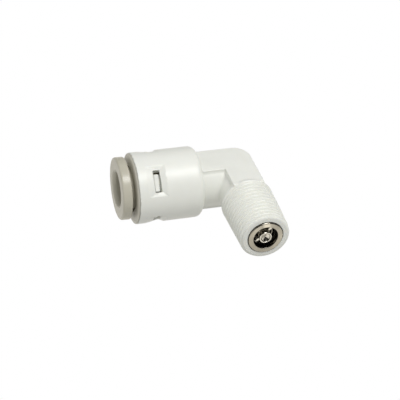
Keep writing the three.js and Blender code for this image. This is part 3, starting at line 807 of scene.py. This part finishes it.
def make_pieces():
    """Every piece in turn: name, distance function, cell, slack, body, slot and material."""
    tube_seal = seal(socket_place, *TUBE_SEAL)
    cartridge_seal = seal(nipple_place, *CARTRIDGE_SEAL)
    poppet_seal = seal(nipple_place, *POPPET_SEAL)
    pieces = [
        ("collet_holder", collet_holder, 0.13, 0, "fitting", "body_plastic", WHITE),
        ("front_collar", front_collar, 0.12, 0, "fitting", "collet_plastic", LIT_COLLAR_IVORY),
        ("collet", collet, 0.12, COLLET_SLACK, "collet", "collet_plastic", IVORY),
    ]
    for finger in range(FINGER_COUNT):
        blade = grip_tooth(finger * FULL_TURN / FINGER_COUNT)
        pieces.append((f"grip_tooth_{finger + 1}", blade, 0.045, COLLET_SLACK, "collet", "spring_steel",
                       SPRING_STEEL))
    pieces += [
        ("spacer_ring", spacer_ring, 0.12, 0, "fitting", "inner_plastic", ACETAL),
        ("tube_o_ring", tube_seal, 0.12, 0, "fitting", "seal_rubber", RUBBER),
        ("cartridge_seal", cartridge_seal, 0.08, 0, "fitting", "seal_rubber", RUBBER),
        ("poppet_seal", poppet_seal, 0.07, 0, "poppet", "seal_rubber", RUBBER),
        ("valve_housing", valve_housing, 0.085, 0, "fitting", "valve_metal", HOUSING_METAL),
        ("spider_retainer", spider_retainer, 0.055, 0, "fitting", "valve_metal", SPIDER_METAL),
        ("valve_poppet", valve_poppet, 0.065, 0, "poppet", "valve_metal", STEM_METAL),
    ]
    skinned_piece("elbow_body", elbow_body, elbow_grid(), "fitting", WHITE)
    for name, distance, cell, slack, body, slot, material in pieces:
        skinned_piece(name, distance, box_grid(name, cell, slack), body, material)
    spring = make_spring()
    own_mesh(spring)


# ---------------------------------------------------------------- camera, light and floor

# The camera was fitted to the outlines of both legs in the photo. Lengths are in millimetres.
CAMERA_AZIMUTH = math.radians(-18.12)
CAMERA_ELEVATION = math.radians(35.93)
CAMERA_ROLL = math.radians(3.84)
CAMERA_DISTANCE = 250
CAMERA_LENS = 113.96
CAMERA_AIM_RIGHT = -6.671
CAMERA_AIM_UP = -4.658
FLOOR_HALF_SIZE = 1.5       # metres


def make_camera():
    azimuth, elevation = CAMERA_AZIMUTH, CAMERA_ELEVATION
    back = Vector((math.sin(azimuth) * math.cos(elevation), -math.cos(azimuth) * math.cos(elevation),
                   math.sin(elevation)))
    level = Vector((math.cos(azimuth), math.sin(azimuth), 0))
    upright = back.cross(level)
    right = level * math.cos(CAMERA_ROLL) + upright * math.sin(CAMERA_ROLL)
    up = back.cross(right)
    place = back * CAMERA_DISTANCE + right * CAMERA_AIM_RIGHT + up * CAMERA_AIM_UP
    data = bpy.data.cameras.new("camera")
    data.lens = CAMERA_LENS
    data.clip_start, data.clip_end = 0.01, 10
    camera = bpy.data.objects.new("camera", data)
    turn = Matrix((right, up, back)).transposed().to_4x4()
    camera.matrix_world = Matrix.Translation(CENTRE + place * MM) @ turn
    bpy.context.scene.collection.objects.link(camera)
    bpy.context.scene.camera = camera


def area_light(name, direction, distance, size, power):
    data = bpy.data.lights.new(name, "AREA")
    data.shape = "RECTANGLE"
    data.size, data.size_y = size
    data.energy = power
    light = bpy.data.objects.new(name, data)
    direction = Vector(direction).normalized()
    light.location = CENTRE + direction * distance
    light.rotation_mode = "QUATERNION"
    light.rotation_quaternion = (-direction).to_track_quat("-Z", "Y")
    bpy.context.scene.collection.objects.link(light)


def make_floor():
    """Plain white ground seen by the camera only. It is clear from below and casts and catches nothing."""
    mesh = bpy.data.meshes.new("floor")
    size = FLOOR_HALF_SIZE
    corners = [(-size, -size, 0), (size, -size, 0), (size, size, 0), (-size, size, 0)]
    mesh.from_pydata(corners, [], [(0, 1, 2, 3)])
    floor = bpy.data.objects.new("floor", mesh)
    bpy.context.scene.collection.objects.link(floor)
    material = bpy.data.materials.new("floor")
    material.use_nodes = True
    nodes, links = material.node_tree.nodes, material.node_tree.links
    nodes.clear()
    glow = nodes.new("ShaderNodeEmission")
    clear = nodes.new("ShaderNodeBsdfTransparent")
    mix = nodes.new("ShaderNodeMixShader")
    output = nodes.new("ShaderNodeOutputMaterial")
    links.new(nodes.new("ShaderNodeNewGeometry").outputs["Backfacing"], mix.inputs["Fac"])
    links.new(glow.outputs["Emission"], mix.inputs[1])
    links.new(clear.outputs["BSDF"], mix.inputs[2])
    links.new(mix.outputs["Shader"], output.inputs["Surface"])
    mesh.materials.append(material)
    floor.visible_diffuse = False
    floor.visible_glossy = False
    floor.visible_shadow = False


def make_world():
    """White surroundings for the camera, an even soft fill, and a dark studio for the metal to mirror."""
    world = bpy.data.worlds.new("studio")
    bpy.context.scene.world = world
    world.use_nodes = True
    nodes, links = world.node_tree.nodes, world.node_tree.links
    nodes.clear()
    output = nodes.new("ShaderNodeOutputWorld")
    path = nodes.new("ShaderNodeLightPath")
    height = nodes.new("ShaderNodeSeparateXYZ")
    links.new(nodes.new("ShaderNodeTexCoord").outputs["Generated"], height.inputs["Vector"])
    lift = nodes.new("ShaderNodeMapRange")
    lift.inputs["From Min"].default_value = -1
    links.new(height.outputs["Z"], lift.inputs["Value"])
    level = lift.outputs["Result"]
    fill_color = ramp(nodes, links, level, 0.2, 0.8, (0.5, 0.5, 0.49), (0.46, 0.46, 0.46))
    mirror_color = ramp(nodes, links, level, 0.4, 0.56, (0.86, 0.83, 0.77), (0.012, 0.012, 0.012))
    fill, mirror, white = (nodes.new("ShaderNodeBackground") for _ in range(3))
    links.new(fill_color, fill.inputs["Color"])
    links.new(mirror_color, mirror.inputs["Color"])
    white.inputs["Color"].default_value = (1, 1, 1, 1)
    glossy_mix, camera_mix = (nodes.new("ShaderNodeMixShader") for _ in range(2))
    links.new(path.outputs["Is Glossy Ray"], glossy_mix.inputs["Fac"])
    links.new(fill.outputs["Background"], glossy_mix.inputs[1])
    links.new(mirror.outputs["Background"], glossy_mix.inputs[2])
    links.new(path.outputs["Is Camera Ray"], camera_mix.inputs["Fac"])
    links.new(glossy_mix.outputs["Shader"], camera_mix.inputs[1])
    links.new(white.outputs["Background"], camera_mix.inputs[2])
    links.new(camera_mix.outputs["Shader"], output.inputs["Surface"])


def make_lights():
    area_light("key", direction=(0.2, -0.35, 0.91), distance=0.3, size=(0.16, 0.1), power=0.5)
    area_light("side", direction=(-0.9, -0.35, 0.25), distance=0.35, size=(0.25, 0.25), power=0.12)


make_pieces()
make_camera()
make_lights()
make_world()
make_floor()
bpy.context.scene.view_settings.view_transform = "Standard"
